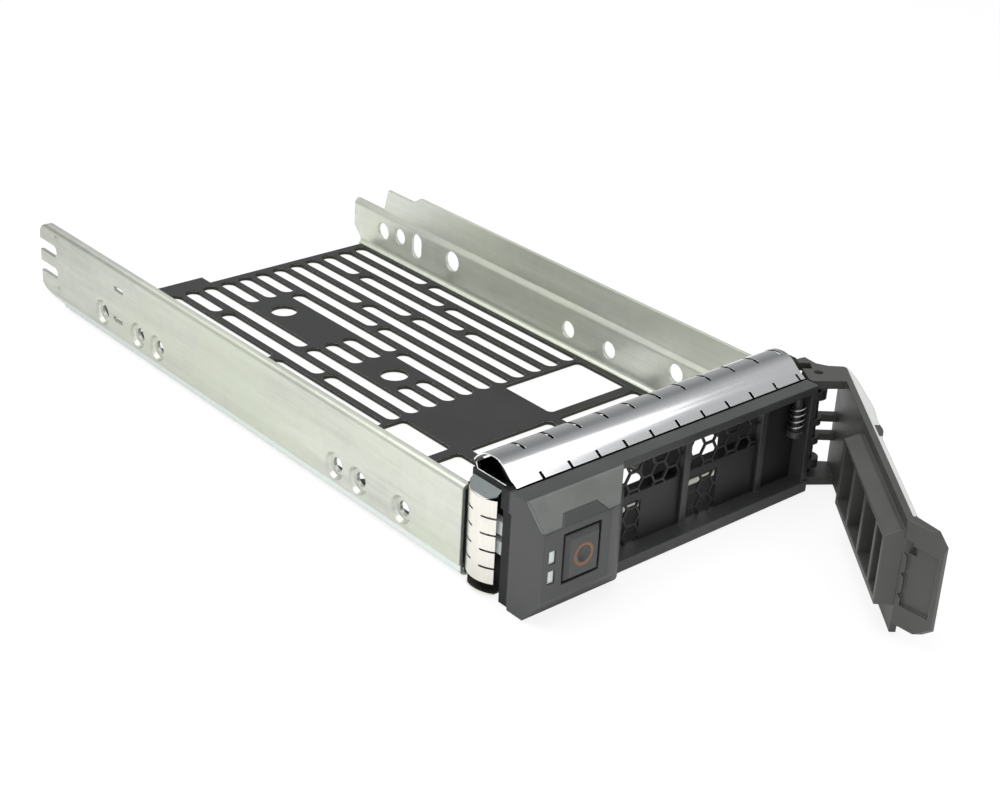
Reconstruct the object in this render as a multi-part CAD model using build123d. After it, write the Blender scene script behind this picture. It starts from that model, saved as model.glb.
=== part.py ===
from build123d import *
import math
import os

os.makedirs("parts", exist_ok=True)

# Drive caddy in millimetres. X runs across, Y to the rear, Z up.
# The button block's front is at Y 0, the tray's underside at Z 0.

# Tray: folded sheet
tray_width = 106.0
sheet = 1.0
wall_height = 24.0
foot_band_height = 3.2
foot_band_depth = 0.35
tray_rear = 222.2
bend_radius = 2.5
rolled_edge = 2.4
joggle_z = 13.0
joggle_rise = 1.5
joggle_step = 1.1
joggle_radius = 0.8
floor_front = 16.0
floor_front_margin = 0.8
floor_rear_drop_left = 16.2
floor_rear_drop_right = 21.0
floor_step_x = -8.0

# Left wall: rear comb
comb_length = 9.6
comb_upper = (15.4, 18.9)
comb_lower = (8.8, 11.9)
comb_corner = 4.0
comb_tail = ((12.2, -1.0), (12.2, 1.8), (4.0, 2.2), (-2.0, 6.0))
dimple_radius = 1.1
dimple_rise = 0.3

# Right wall: rear steps, each a distance from the rear end and a height
right_steps = ((47.2, 24.0), (43.7, 21.8), (31.2, 21.8), (29.2, 14.5), (15.2, 14.5), (15.2, 5.5), (18.7, 2.0))

# Holes in the left wall, placed from the first drive hole
drive_hole_inset = 38.9
drive_hole_pitch = 101.6
drive_hole_rise = 6.35
drive_hole_radius = 1.85
dish_radius = 4.0
dish_depth = 1.2
spare_holes = (-16.9, 9.4, 91.5, 120.8)
wall_slots = ((111.1, 17.8), (112.1, 8.3))
wall_slot_length = 5.0
wall_slot_width = 1.4

# Holes in the right wall: distance from the first drive hole, height, radius
right_holes = ((-5.2, 9.5, 2.8), (20.8, 6.5, 2.6), (37.8, 6.5, 2.6), (90.8, 9.5, 3.2), (116.8, 9.0, 2.6),
               (125.4, 8.0, 2.8))
right_slot = (108.3, 8.6)
right_slot_length = 8.0
right_slot_width = 5.0

# Floor pattern
film_thickness = 0.25
slot_width = 4.7
slot_margin_left = 10.55
slot_margin_right = 7.0
slot_margin_rear = 2.2
slot_gap = 1.8
slot_web = 1.0
slot_split_rear = 17.5
slot_split_third = 35.7
slot_split_half = 51.7
slot_split_front = 68.7
field_slot_rear = 18.0
field_slot_middle = (53.7, 69.5)
field_slot_front = 15.1
field_radius = 4.0
field_holes = ((-1.8, 28.0), (-1.5, 81.0))
window_radius = 1.5
front_window_inset = 2.7
front_window_length = 42.3
rear_window_length = 20.0
rear_window_web = 2.9
window_margin_left = 8.0
window_margin_right = 5.7
window_split_left = (-15.7, -12.5)
window_split_right = (15.5, 18.5)

# Front housing
bezel_height = 29.8
bezel_wall = 2.0
bezel_rear = 26.5
bezel_gap = 1.0
block_width = 29.7
block_depth = 14.5
block_bevel = 5.3
block_foot_drop = 2.8
block_foot_y = 5.6
block_step = 0.8
block_step_y = 10.8
block_curve_start = 20.0
block_curve_y = 7.4
block_curve_bulge = 1.5
visor_start = 22.4
visor_slope = 0.95
side_wall = 1.5
wall_inset = 3.8
beam_front = 7.4
beam_thickness = 2.1
roof_front = 11.3
roof_step = 1.0
roof_thickness = 1.8
roof_inset = 1.9
sill_front = 7.0
sill_height = 3.1
sill_lift = 0.2
pocket_width = 9.2
pocket_rear = 22.5
end_wall = 1.8
floor_skin = 0.8
post_left_inset = 25.9
post_right_inset = 14.4
post_width = 2.0
post_rear = 24.5
rail_rise = 11.0
rail_height = 2.1
peg_radius = 1.2
peg_y = 20.0
lug_thickness = 2.4
lug_reach = 3.0
lug_radius = 2.8
lug_lift = 0.7
lug_drop = 2.0

# Vent screen
screen_y = 12.0
screen_thickness = 0.5
cell_pitch = 4.8
cell_web = 0.6
cell_x = 6.8
cell_z = 7.6
cell_bay_left = 12.0
cell_bay_right = 11.0

# Button, lenses, latch
well_inset = 5.7
well_width = 11.3
well_height = 12.8
well_drop = 7.0
button_gap_left = 0.8
button_gap = 0.4
button_gap_top = 0.9
button_bevel = 0.9
button_proud = 0.6
button_flange = 0.5
ring_outer = 2.9
ring_inner = 2.15
ring_depth = 0.5
dish_sag = 0.6
spring_seat_inset = 2.5
spring_wire = 0.5
spring_radius = 2.2
spring_turns = 4
lens_inset = 1.6
lens_width = 2.1
lens_height = 3.4
lens_rise_upper = 6.3
lens_rise_lower = 1.3
lens_recess = 0.5
lens_rear = 24.0
latch_height = 5.0
latch_depth = 2.0
latch_nose = 0.6
latch_travel = 1.5
plate_thickness = 0.9
scoop_left = 5.2
scoop_right = 19.1
scoop_rise = 2.0

# Contact strips
strip = 0.3
strip_outline = ((14.9, 1.9), (9.3, 5.4), (6.4, 5.5), (3.9, 4.2), (0.6, 1.1), (1.3, 0.25), (13.7, 0.25))
strip_inset = 2.0
strip_tab = 8.0
slit_first = 8.0
slit_pitch = 8.5
slit_width = 0.5
clip_gap = 1.9
clip_rear_gap = 0.5
clip_foot = 3.6
clip_drop = 4.8
clip_bulge = 1.7
clip_fingers = 5
clip_root = 0.7
clip_cap_rise = 2.1
clip_plate_z = 0.75
clip_strap = 1.7
corner_post_lap = 1.4
corner_lip = 1.1
corner_lip_reach = 1.2

# Handle, drawn closed and then swung open
hinge_inset = 3.4
hinge_y = 12.4
open_angle = 50.8
pin_radius = 1.2
pin_drop = 0.8
arm_thickness = 2.3
arm_lift = 0.3
handle_front = 4.7
handle_panel = 1.5
handle_clearance = 0.7
handle_lift = 1.0
handle_body_y = 10.6
handle_body_start = 1.0
handle_body_length = 44.7
handle_body_foot = 8.0
handle_body_drop = 2.8
handle_rib = 1.4
handle_rib_pitch = 12.2
handle_rib_first = 7.8
handle_wall = 1.5
arm_outline = ((-5.0, 2.2), (-3.95, 3.1), (7.3, 4.4), (8.7, 2.0), (5.2, -0.25), (3.95, -3.1), (3.8, -7.2),
               (-4.3, -7.4))
knuckle_z = (11.3, 16.6)
knuckle_height = 1.8
knuckle_radius = 2.2
knuckle_x = (0.6, 3.0)
arm_slot_x = 1.9
arm_slot = (3.5, 3.0)
tab_front = ((2.3, 4.0), (-6.3, -1.4))
tab_back = ((-7.1, -0.4), (0.7, 6.2))
tab_foot = 3.5
tab_tip_foot = 8.0
tab_tip_drop = 4.8
tab_pocket = 0.8
tab_rim = 1.3
tab_notch = 1.3
tab_notches = 3
tab_hole = (1.8, 3.3)
cover_crown = ((3.1, 0.4), (-2.4, 1.4), (-10.9, 2.0), (-21.1, 2.3), (-27.1, 1.95), (-30.0, 2.2), (-33.0, 1.5),
               (-35.8, 1.1))
cover_margin = 0.2
cover_start = 2.7
cover_gap = 0.05
pad_span = (-33.2, -27.6)
pad_seat = 0.6

# Handle spring on its post
post_spring_inset = 4.2
post_spring_y = 9.6
post_spring_radius = 1.1
spring_collar = 1.5
coil_radius = 1.9
coil_wire = 0.5
coil_height = 6.4
coil_drop = 5.2
coil_turns = 4

# Clearances
slip = 0.05
seat = 0.02
free = 0.3

# Worked out from the values above: tray
half_width = tray_width / 2
wall_front = bezel_rear + bezel_gap
film_top = sheet + film_thickness
floor_rear_left = tray_rear - floor_rear_drop_left
floor_rear_right = tray_rear - floor_rear_drop_right
comb_front = tray_rear - comb_length
drive_hole_y = wall_front + drive_hole_inset
drive_hole_z = film_top + drive_hole_rise
front_window_y = (wall_front + front_window_inset, wall_front + front_window_inset + front_window_length)
rear_window_y = (front_window_y[1] + rear_window_web, front_window_y[1] + rear_window_web + rear_window_length)
slot_rear = floor_rear_right - slot_margin_rear
slot_front = rear_window_y[1] + slot_web

# Worked out: housing, button and lenses
block_right = -half_width + block_width
block_curve_x = -half_width + block_curve_start
visor_x = -half_width + visor_start
bevel_z = bezel_height - block_bevel
pocket_x = half_width - pocket_width
wall_x = -half_width + wall_inset
roof_top = bezel_height - roof_step
roof_under = roof_top - roof_thickness
roof_left = -half_width + roof_inset
post_x = (block_right + post_left_inset, pocket_x - post_right_inset)
rail_z = (sill_height + rail_rise, sill_height + rail_rise + rail_height)
lug_z = (sill_height + lug_thickness / 2 + lug_lift, bezel_height - arm_thickness - lug_thickness / 2 - lug_drop)
cell_column = cell_pitch * math.sqrt(3) / 2
well_x = (-half_width + well_inset, -half_width + well_inset + well_width)
well_z = (bezel_height - well_drop - well_height, bezel_height - well_drop)
block_foot_z = well_z[0] - block_foot_drop
lens_x = (-half_width + lens_inset, -half_width + lens_inset + lens_width)
lens_z = tuple((well_z[0] + rise, well_z[0] + rise + lens_height) for rise in (lens_rise_upper, lens_rise_lower))
spring_seat_y = block_depth - spring_seat_inset

# Worked out: strips, handle and its spring
strip_left = -half_width + strip_inset
clip_face = -half_width + clip_root
clip_front = block_depth + clip_gap
clip_rear = bezel_rear - clip_rear_gap
clip_z = (clip_foot, bezel_height - clip_drop)
hinge_x = half_width - hinge_inset
handle_left = block_right + handle_clearance
handle_body_x = (block_right + handle_body_start, block_right + handle_body_start + handle_body_length)
handle_body_z = (handle_body_foot, bezel_height - handle_body_drop)
tab_tip_z = (tab_tip_foot, bezel_height - tab_tip_drop)
post_spring_x = pocket_x - post_spring_inset
coil_z = (bezel_height - coil_drop - coil_height, bezel_height - coil_drop)


def block(x0, x1, y0, y1, z0, z1):
    """Box between two opposite corners."""
    return Pos((x0 + x1) / 2, (y0 + y1) / 2, (z0 + z1) / 2) * Box(x1 - x0, y1 - y0, z1 - z0)


def prism_x(points, x0, x1):
    """Outline of (y, z) points carried along X."""
    outline = make_face(Polyline(*[(x0, y, z) for y, z in points], close=True))
    return extrude(outline, amount=x1 - x0, dir=(1, 0, 0))


def prism_y(points, y0, y1):
    """Outline of (x, z) points carried along Y."""
    outline = make_face(Polyline(*[(x, y0, z) for x, z in points], close=True))
    return extrude(outline, amount=y1 - y0, dir=(0, 1, 0))


def prism_z(points, z0, z1):
    """Outline of (x, y) points carried along Z."""
    outline = make_face(Polyline(*[(x, y, z0) for x, y in points], close=True))
    return extrude(outline, amount=z1 - z0, dir=(0, 0, 1))


def rod(turn, centre, radius, length, end_radius=None):
    """Round bar, or a cone, from a centre along a turned Z axis."""
    stand = (Align.CENTER, Align.CENTER, Align.MIN)
    if end_radius is None:
        return Pos(*centre) * turn * Cylinder(radius, length, align=stand)
    return Pos(*centre) * turn * Cone(radius, end_radius, length, align=stand)


ALONG_X = Rot(0, 90, 0)
ALONG_Y = Rot(-90, 0, 0)
ALONG_Z = Rot(0, 0, 0)


def coil(radius, wire, height, turns):
    """Spring wire wound about Z from Z 0, with its centreline this high."""
    path = Helix(pitch=height / turns, height=height, radius=radius)
    section = Plane(origin=path @ 0, z_dir=path % 0) * Circle(wire / 2)
    return sweep(section, path=path, is_frenet=True)


def split_slots(*reaches):
    """One column's slots, split where each reach from the rear ends."""
    fronts = [slot_rear - reach for reach in reaches] + [slot_front]
    rears = [slot_rear] + [slot_rear - reach - slot_gap for reach in reaches]
    return list(zip(fronts, rears))


def slot_columns():
    """Floor slots as (x, y front, y rear), column by column."""
    one = split_slots(slot_split_rear, slot_split_front)
    two = split_slots(slot_split_half)
    three = split_slots(slot_split_third)
    field = [(slot_rear - field_slot_rear, slot_rear), (slot_front, slot_front + field_slot_front)]
    field.append((slot_rear - field_slot_middle[1], slot_rear - field_slot_middle[0]))
    kinds = (one, two, three, two, one, two, field, field, one, two, three, two, one, two, three)
    left, right = -half_width + slot_margin_left, half_width - slot_margin_right
    for place, kind in enumerate(kinds):
        for front, rear in kind:
            yield left + place * (right - left) / (len(kinds) - 1), front, rear


def floor_windows():
    """Floor windows as (x left, x right, y front, y rear)."""
    left = (-half_width + window_margin_left, window_split_left[0])
    middle = (window_split_left[1], window_split_right[0])
    right = (window_split_right[1], half_width - window_margin_right)
    windows = [span + front_window_y for span in (left, middle, right)]
    return windows + [span + rear_window_y for span in (left, right)]


def floor_cuts(grow):
    """Every opening in the floor, as one flat sketch grown by a margin."""
    cuts = Sketch()
    for x, front, rear in slot_columns():
        slot = SlotOverall(rear - front + 2 * grow, slot_width + 2 * grow)
        cuts += Pos(x, (front + rear) / 2) * Rot(0, 0, 90) * slot
    for x, reach in field_holes:
        cuts += Pos(x, slot_rear - reach) * Circle(field_radius + grow)
    for x0, x1, y0, y1 in floor_windows():
        frame = RectangleRounded(x1 - x0 + 2 * grow, y1 - y0 + 2 * grow, window_radius + grow)
        cuts += Pos((x0 + x1) / 2, (y0 + y1) / 2) * frame
    return cuts


def left_wall_trim():
    """What the left wall lacks at its rear end."""
    x0, x1 = -half_width - 1, -half_width + bend_radius
    past = tray_rear + 2
    tail = [(tray_rear - reach, z) for reach, z in comb_tail]
    trim = prism_x(tail + [(past, -1)], x0, x1)
    for z0, z1 in (comb_upper, comb_lower):
        round_end = (z1 - z0) / 2
        trim += block(x0, x1, comb_front + round_end, past, z0, z1)
        trim += rod(ALONG_X, (x0, comb_front + round_end, (z0 + z1) / 2), round_end, x1 - x0)
    y, z = tray_rear - comb_corner, wall_height - comb_corner
    corner = block(x0, x1, y, past, z, wall_height + 1) - rod(ALONG_X, (x0, y, z), comb_corner, x1 - x0)
    return trim + corner


def right_wall_trim():
    """What the right wall lacks at its rear end."""
    past = tray_rear + 2
    steps = [(tray_rear - reach, z) for reach, z in right_steps]
    steps.insert(0, (steps[0][0], wall_height + 1))
    steps += [(floor_rear_right, -1), (past, -1), (past, wall_height + 1)]
    return prism_x(steps, half_width - joggle_step - bend_radius, half_width + 1)


def drive_dish(y):
    """Raised dish inside the left wall, and the cut that makes its hollow."""
    face = -half_width
    rim = dish_radius - dish_depth / 2
    boss = rod(ALONG_X, (face + sheet, y, drive_hole_z), dish_radius, dish_depth, rim)
    mouth, bottom = dish_radius - sheet / 3, rim - sheet / 2
    hollow = rod(ALONG_X, (face - slip, y, drive_hole_z), mouth, dish_depth + slip, bottom)
    hole = rod(ALONG_X, (face - 1, y, drive_hole_z), drive_hole_radius, dish_depth + sheet + 2)
    return boss, hollow + hole


def tray_pan():
    """Folded tray: floor, left wall with a rolled edge, right wall with a joggle."""
    mid = sheet / 2
    inner_right = half_width - joggle_step
    path = FilletPolyline(
        (-half_width + rolled_edge, wall_height - mid),
        (-half_width + mid, wall_height - mid),
        (-half_width + mid, mid),
        (inner_right - mid, mid),
        (inner_right - mid, joggle_z),
        (half_width - mid, joggle_z + joggle_rise),
        (half_width - mid, wall_height),
        radius=[joggle_radius, bend_radius - mid, bend_radius - mid, joggle_radius, joggle_radius],
    )
    section = Plane.XZ * trace(path, line_width=sheet)
    pan = Pos(0, wall_front, 0) * extrude(section, amount=tray_rear - wall_front, dir=(0, 1, 0))
    pan += block(wall_x, pocket_x - floor_front_margin, floor_front, wall_front + 1, 0, sheet)
    floor_left, floor_right = -half_width + bend_radius, inner_right - bend_radius
    past = tray_rear + 2
    pan -= block(floor_left, floor_step_x, floor_rear_left, past, -1, sheet + 1)
    pan -= block(floor_step_x, floor_right, floor_rear_right, past, -1, sheet + 1)
    pan -= block(-half_width - 1, -half_width + foot_band_depth, wall_front - 1, past, -1, foot_band_height)
    pan -= left_wall_trim()
    pan -= right_wall_trim()
    pan -= extrude(floor_cuts(0), amount=2 * sheet, both=True)
    for x in post_x:
        pan -= rod(ALONG_Z, (x, peg_y, -1), peg_radius + seat, sheet + 2)
    for step in (0, drive_hole_pitch) + spare_holes:
        boss, cut = drive_dish(drive_hole_y + step)
        pan = pan + boss - cut
    left = -half_width - 1
    for step, z in wall_slots:
        flat = Plane.YZ * Pos(drive_hole_y + step, z) * SlotOverall(wall_slot_length, wall_slot_width)
        pan -= Pos(left, 0, 0) * extrude(flat, amount=2 + sheet, dir=(1, 0, 0))
    for z in ((wall_height + comb_upper[1]) / 2, comb_lower[0] - 3 * dimple_radius):
        pan += Pos(-half_width, comb_front, z) * ALONG_X * Rot(0, 180, 0) * Cone(dimple_radius, dimple_radius / 2,
                dimple_rise, align=(Align.CENTER, Align.CENTER, Align.MIN))
    near = half_width - 4
    for step, z, radius in right_holes:
        pan -= rod(ALONG_X, (near, drive_hole_y + step, z), radius, 5)
    upright = Rot(0, 0, 90) * SlotOverall(right_slot_length, right_slot_width)
    flat = Plane.YZ * Pos(drive_hole_y + right_slot[0], right_slot[1]) * upright
    pan -= Pos(near, 0, 0) * extrude(flat, amount=5, dir=(1, 0, 0))
    return pan


def insulator_film():
    """Film on the floor behind the housing, with the floor's openings."""
    left, right = -half_width + bend_radius + free, half_width - joggle_step - bend_radius - free
    film = block(left, right, wall_front, floor_rear_right - free, sheet, film_top)
    film += block(left, floor_step_x - free, floor_rear_right - 1, floor_rear_left - free, sheet, film_top)
    return film - extrude(floor_cuts(slip), amount=2 * film_top, both=True)


def visor_cut():
    """Straight cut in plan at the slanted plate's right end."""
    rear_y = (block_right - visor_x) * visor_slope
    corner = ((visor_x - 1 / visor_slope, -1), (block_right, rear_y), (block_right + 2, rear_y),
              (block_right + 2, -1))
    return prism_z(corner, bevel_z, bezel_height + 1)


def corner_cut():
    """Convex cut in plan at the block's right corner, up to the slanted face."""
    run, rise = block_right - block_curve_x, block_curve_y
    chord = math.hypot(run, rise)
    mid_x = block_curve_x + run / 2 + block_curve_bulge * rise / chord
    mid_y = rise / 2 - block_curve_bulge * run / chord
    curve = ThreePointArc((block_curve_x, 0, -1), (mid_x, mid_y, -1), (block_right, rise, -1))
    out = Polyline((block_right, rise, -1), (block_right + 2, rise, -1), (block_right + 2, -2, -1),
                   (block_curve_x, -2, -1), (block_curve_x, 0, -1))
    return extrude(make_face([curve, out]), amount=bevel_z + 1, dir=(0, 0, 1))


def button_block():
    """Hollow block at the left end, with a well for the button and lens channels."""
    outline = ((0, block_foot_z), (0, bevel_z), (block_bevel, bezel_height), (block_depth, bezel_height),
               (block_depth, 0), (block_foot_y, 0))
    body = prism_x(outline, -half_width, block_right) - corner_cut() - visor_cut()
    inner_left, inner_right = lens_x[1] + side_wall, block_right - bezel_wall
    ceiling = bezel_height - bezel_wall - plate_thickness
    cavity = ((bezel_wall, block_foot_z + bezel_wall), (bezel_wall, bevel_z - bezel_wall / 2),
              (block_bevel + bezel_wall, ceiling), (block_depth + 1, ceiling), (block_depth + 1, bezel_wall),
              (block_foot_y + bezel_wall, bezel_wall))
    hollow = prism_x(cavity, inner_left, block_curve_x)
    hollow += block(block_curve_x - 1, inner_right, block_curve_y + bezel_wall, block_depth + 1, bezel_wall,
                    ceiling)
    body -= hollow
    body -= block(*well_x, -1, bezel_wall + 1, *well_z)
    for z0, z1 in lens_z:
        body -= block(*lens_x, -1, block_depth + 1, z0, z1)
    body -= block(-half_width - 1, -half_width + block_step, block_step_y, block_depth + 1, -1, bevel_z)
    return body + spring_seat(inner_left) - face_plate_solid(slip)


def spring_seat(inner_left):
    """Web behind the button that its spring bears on."""
    middle_z = (well_z[0] + well_z[1]) / 2
    web = block(inner_left - side_wall / 2, well_x[1] + 1, spring_seat_y, block_depth, bezel_wall / 2,
                bezel_height - bezel_wall)
    centre = ((well_x[0] + well_x[1]) / 2, spring_seat_y - 1.5, middle_z)
    return web + rod(ALONG_Y, centre, spring_radius - spring_wire - 0.2, 2.0)


def latch_span():
    """Latch heights, centred on the button."""
    middle = (well_z[0] + well_z[1]) / 2
    return middle - latch_height / 2, middle + latch_height / 2


def latch_window():
    """Window in the block's right face for the latch's nose."""
    z0, z1 = latch_span()
    return block(block_right - bezel_wall - 1, block_right + 1, block_curve_y + bezel_wall + slip,
                 block_curve_y + bezel_wall + latch_depth + 3 * slip, z0 - free, z1 + free)


def face_plate_outline(grow):
    """Front of the slanted plate, as seen from the front."""
    left, right = -half_width, block_right
    scoop_x = (left + scoop_left + grow, left + scoop_right - grow)
    crest = bevel_z + scoop_rise - grow
    return ((left - grow, bevel_z - grow), (scoop_x[0], bevel_z - grow), (scoop_x[0] + scoop_rise, crest),
            (scoop_x[1] - scoop_rise, crest), (scoop_x[1], bevel_z - grow), (right + grow, bevel_z - grow),
            (right + grow, bezel_height + grow), (left - grow, bezel_height + grow))


def face_plate_solid(grow):
    """Plate let into the slanted face, grown by a margin for its seat."""
    deep = plate_thickness * math.sqrt(2) + grow
    side = ((-grow, bevel_z - grow), (block_bevel + grow, bezel_height + grow),
            (block_bevel + deep, bezel_height + grow), (deep, bevel_z - grow))
    band = prism_x(side, -half_width - 1, block_right + 1)
    return band & prism_y(face_plate_outline(grow), -1, block_bevel + deep + 1)


def bezel_face_plate():
    """Plate on the slanted face, with the finger scoop left open."""
    return face_plate_solid(0) - visor_cut()


def bezel_housing():
    """Front housing: block, beam, roof, sill, posts, end wall and hinge lugs."""
    body = button_block()
    inner = block_right - bezel_wall
    body += block(inner, pocket_x, beam_front, roof_front, bezel_height - beam_thickness, bezel_height)
    body += block(roof_left, pocket_x, roof_front - 1, bezel_rear, roof_under, roof_top)
    body += block(pocket_x - 1, half_width, pocket_rear, bezel_rear, roof_under, roof_top)
    body += block(wall_x, wall_x + side_wall, block_depth - 1, bezel_rear, sheet + slip, roof_under + 1)
    body += block(inner, pocket_x, sill_front, floor_front - slip, sill_lift, sill_height)
    body += block(inner, pocket_x - 1, sill_front, post_rear, sheet + slip, sheet + slip + floor_skin)
    body += block(inner, block_right, block_curve_y + 1, post_rear, sheet + slip, roof_under + 1)
    for x in post_x:
        x0, x1 = x - post_width / 2, x + post_width / 2
        body += block(x0, x1, handle_body_y + free, post_rear, sheet + slip, roof_under + 1)
        body += rod(ALONG_Z, (x, peg_y, 0.1), peg_radius, sheet + 1)
    body += block(block_right - 1, pocket_x - 1, screen_y + screen_thickness + slip, floor_front, *rail_z)
    body += block(pocket_x - end_wall, pocket_x, beam_front, post_rear, sill_lift, roof_under + 1)
    body -= block(pocket_x - end_wall - 1, pocket_x + 1, floor_front - slip, post_rear + 1, -1, sheet + slip)
    body += corner_post()
    body += spring_post()
    body += hinge_lugs()
    body -= block(strip_left - free, half_width + 1, roof_front, bezel_rear + 1, roof_top, bezel_height + 1)
    return body - screen_slot() - latch_window()


def corner_post():
    """Post behind the side clip, with a lip inside the left wall's front end: together they close the gap."""
    outer = -half_width + sheet + free
    post = block(outer, wall_x + slip, clip_rear - corner_post_lap, wall_front - free, film_top + slip, clip_z[1])
    return post + block(outer, outer + corner_lip, wall_front - 1, wall_front + corner_lip_reach,
                        sheet + bend_radius, wall_height - sheet - free)


def spring_post():
    """Post under the beam beside the hinge, with a collar that the coil stands on."""
    low = coil_z[0] - coil_wire / 2 - free / 3 - spring_collar
    centre = (post_spring_x, post_spring_y, low)
    post = rod(ALONG_Z, centre, post_spring_radius, bezel_height - beam_thickness + 1 - low)
    return post + rod(ALONG_Z, centre, coil_radius + coil_wire / 2, spring_collar)


def hinge_lugs():
    """Plates that carry the hinge pin between the handle's arms."""
    lugs = block(pocket_x - 0.5, half_width - 0.5, pocket_rear, post_rear + 1, lug_z[0] - lug_thickness / 2,
                 roof_top - 1)
    lugs -= block(pocket_x + 1.5, half_width - 3, pocket_rear - 1, post_rear + 2, lug_z[0] + lug_thickness,
                  lug_z[-1] - lug_thickness)
    for z in lug_z:
        low, high = z - lug_thickness / 2, z + lug_thickness / 2
        lug = block(hinge_x - lug_reach, hinge_x + lug_radius, hinge_y, pocket_rear + 1, low, high)
        lugs += lug + rod(ALONG_Z, (hinge_x, hinge_y, low), lug_radius, lug_thickness)
    return lugs - rod(ALONG_Z, (hinge_x, hinge_y, -1), pin_radius + seat, bezel_height + 2)


def screen_size():
    """Screen's left, right, bottom and top."""
    return block_right - 1, pocket_x - end_wall + 0.5, sill_height - 1, bezel_height - beam_thickness + 1


def screen_slot():
    """Seat cut in the housing for the screen."""
    x0, x1, z0, z1 = screen_size()
    return block(x0 - slip, x1 + slip, screen_y - slip, screen_y + screen_thickness + slip, z0 - slip, z1 + slip)


def honeycomb_screen():
    """Sheet with hexagonal cells in the fields that the posts leave."""
    x0, x1, z0, z1 = screen_size()
    sheet_body = block(x0, x1, screen_y, screen_y + screen_thickness, z0, z1)
    half = post_width / 2
    bays = ((block_right, post_x[0] - half, cell_bay_left), (post_x[0] + half, post_x[1] - half, cell_bay_right))
    fields = Sketch()
    for left, right, lower in bays:
        high, low = bezel_height - beam_thickness, rail_z[1]
        fields += Pos((left + right) / 2, (low + high) / 2) * Rectangle(right - left, high - low)
        fields += Pos(left + lower / 2, (sill_height + rail_z[0]) / 2) * Rectangle(lower, rail_z[0] - sill_height)
    cells = Sketch()
    columns = range(math.floor((x0 - cell_x) / cell_column), math.ceil((x1 - cell_x) / cell_column) + 1)
    rows = range(math.floor((z0 - cell_z) / cell_pitch) - 1, math.ceil((z1 - cell_z) / cell_pitch) + 2)
    for column in columns:
        for row in rows:
            rise = row * cell_pitch + (column % 2) * cell_pitch / 2
            cell = RegularPolygon((cell_pitch - cell_web) / 2, 6, major_radius=False)
            cells += Pos(cell_x + column * cell_column, cell_z + rise) * cell
    pattern = Plane.XZ * (cells & fields)
    return sheet_body - Pos(0, screen_y - 1, 0) * extrude(pattern, amount=screen_thickness + 2, dir=(0, 1, 0))


def release_button():
    """Button with bevelled edges, a flange behind the well and a ring seat."""
    x0, x1 = well_x[0] + button_gap_left, well_x[1] - button_gap
    z0, z1 = well_z[0] + button_gap, well_z[1] - button_gap_top
    flange_y = bezel_wall + free
    face = Pos((x0 + x1) / 2, -button_proud, (z0 + z1) / 2) * ALONG_Y * Rectangle(
        x1 - x0 - 2 * button_bevel, z1 - z0 - 2 * button_bevel)
    shoulder = Pos((x0 + x1) / 2, button_bevel / 2, (z0 + z1) / 2) * ALONG_Y * Rectangle(x1 - x0, z1 - z0)
    body = loft([face.face(), shoulder.face()])
    body += block(x0, x1, button_bevel / 2, flange_y + 1, z0, z1)
    body += block(x0 - button_gap_left - 0.2, x1 + button_gap + button_flange, flange_y, flange_y + 1,
                  z0 - button_gap - button_flange, z1 + button_gap_top + button_flange)
    x, z = (x0 + x1) / 2, (z0 + z1) / 2
    body -= rod(ALONG_Y, (x, -button_proud, z), ring_outer + seat, ring_depth)
    body += rod(ALONG_Y, (x, -button_proud, z), ring_inner - seat, ring_depth)
    reach = ring_inner - free
    dish = (reach * reach + dish_sag * dish_sag) / (2 * dish_sag)
    return body - Pos(x, -button_proud + dish_sag - dish, z) * Sphere(dish)


def button_ring():
    """Ring let into the button's face."""
    x = (well_x[0] + button_gap_left + well_x[1] - button_gap) / 2
    z = (well_z[0] + button_gap + well_z[1] - button_gap_top) / 2
    ring = rod(ALONG_Y, (x, -button_proud, z), ring_outer, ring_depth)
    return ring - rod(ALONG_Y, (x, -button_proud - 1, z), ring_inner, ring_depth + 2)


def button_spring():
    """Coil between the button and the web behind it."""
    x, z = (well_x[0] + well_x[1]) / 2, (well_z[0] + well_z[1]) / 2
    start = bezel_wall + free + 1 + spring_wire / 2 + slip
    height = spring_seat_y - spring_wire / 2 - slip - start
    return Pos(x, start, z) * ALONG_Y * coil(spring_radius, spring_wire, height, spring_turns)


def handle_latch():
    """Slider whose nose stands in the window beside the closed handle."""
    z0, z1 = latch_span()
    y0 = block_curve_y + bezel_wall + 2 * slip
    y1 = y0 + latch_depth
    left = well_x[1] + 1 + latch_travel + free
    return block(left, block_right + latch_nose, y0, y1, z0, z1) + block(
        left, left + 2, y0, y1, z0 - 2, z1 + 2)


def light_pipe(z0, z1):
    """Clear bar through its channel, along the housing's side."""
    return block(lens_x[0] + slip, lens_x[1] - slip, lens_recess, lens_rear, z0 + slip, z1 - slip)


def top_gasket():
    """Formed strip on the roof: a slit crest at the rear, a slit lip at the front."""
    path = Polyline(*[(roof_front + y, roof_top + z) for y, z in strip_outline])
    section = Plane.YZ * trace(path, line_width=strip)
    right = pocket_x
    body = Pos(strip_left, 0, 0) * extrude(section, amount=right - strip_left, dir=(1, 0, 0))
    (rear_y, _), (crest_y, crest_z), (lip_y, lip_z) = strip_outline[0], strip_outline[1], strip_outline[4]
    top = roof_top + crest_z + 1
    x = strip_left + slit_first
    while x < right - slit_pitch / 4:
        body -= block(x, x + slit_width, roof_front + crest_y, roof_front + rear_y + 1, roof_top + lip_z, top)
        body -= block(x, x + slit_width, roof_front, roof_front + lip_y + 3, roof_top + 2 * strip, top - 1)
        x += slit_pitch
    tab_z = roof_top + strip_outline[-1][1]
    tab = block(right - 1, right + strip_tab, pocket_rear, bezel_rear, tab_z - strip / 2, tab_z + strip / 2)
    return body + tab


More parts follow.
